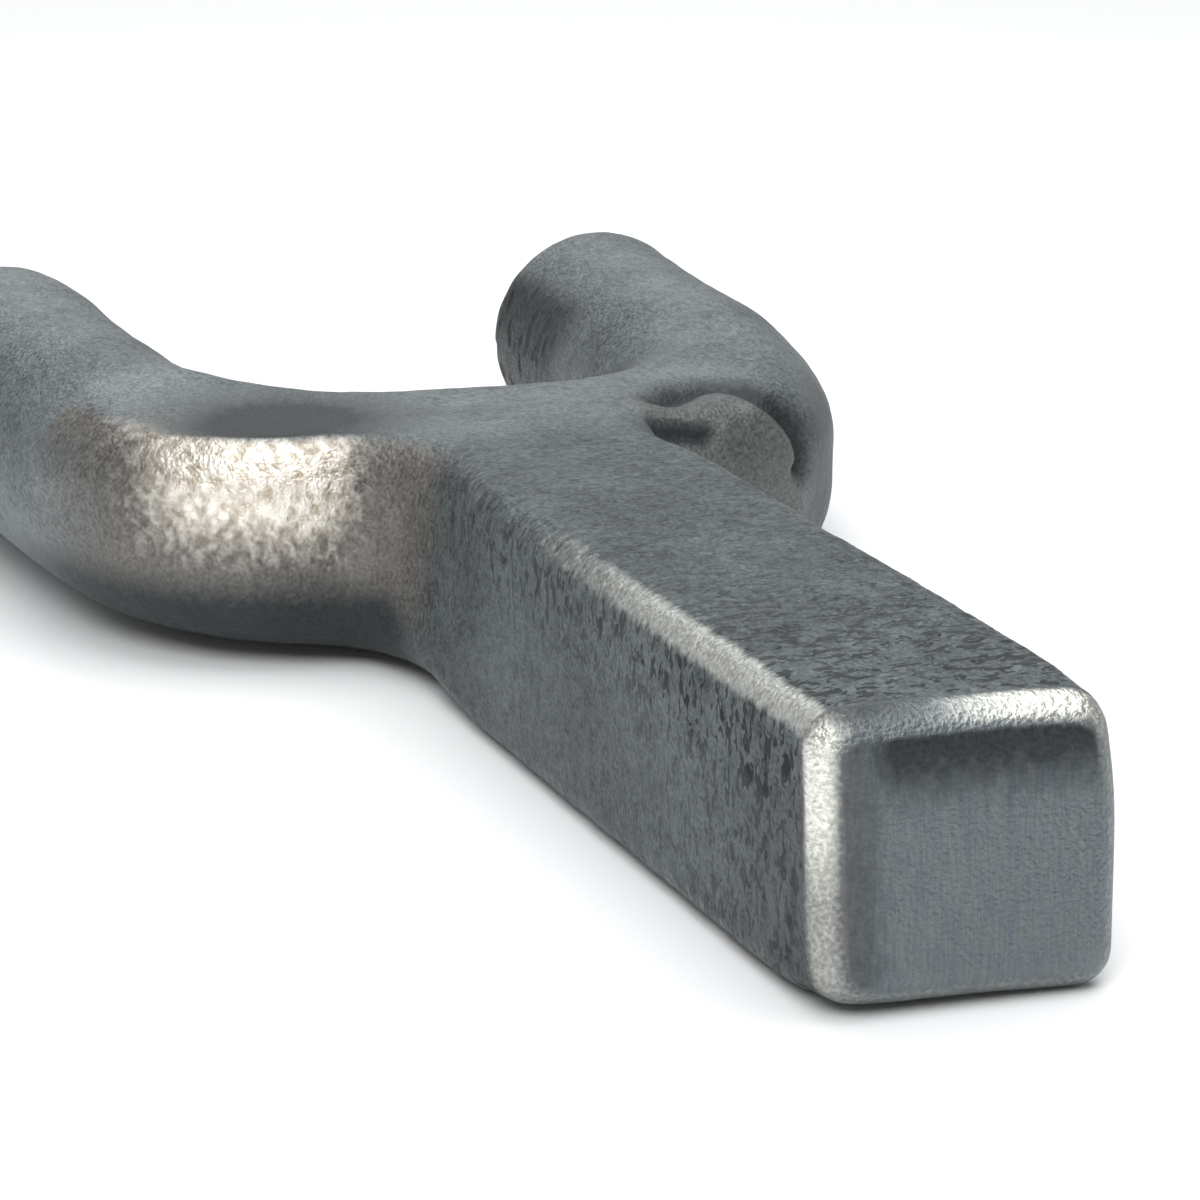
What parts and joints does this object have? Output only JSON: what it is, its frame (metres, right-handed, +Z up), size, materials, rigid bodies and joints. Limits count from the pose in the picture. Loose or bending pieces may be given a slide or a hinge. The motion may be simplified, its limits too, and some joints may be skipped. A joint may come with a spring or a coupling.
{
  "type": "hardy bending fork",
  "caption": "Forged bending fork for an anvil's hardy hole: square shank, widened shoulder and two arms that turn into parallel round tines.",
  "frame": {"origin": "bottom centre of the box of the tool as it lies on its side, on the table", "axes": "+Z up from the table; +Y along the shank from its ground end towards the tines; +X to the right seen from the shank's end"},
  "size_m": [0.0958, 0.176, 0.0272],
  "materials": {
    "forged_scale": "dark forging scale, pitted, worn to brighter steel on the edges",
    "burnished_steel": "scale rubbed smooth by use, brownish grey with bright patches"
  },
  "bodies": {
    "root": {"shank": "forged_scale", "shoulder": "forged_scale", "left_arm": "burnished_steel", "right_arm": "burnished_steel", "left_tine": "burnished_steel", "right_tine": "burnished_steel"}
  },
  "joints": []
}
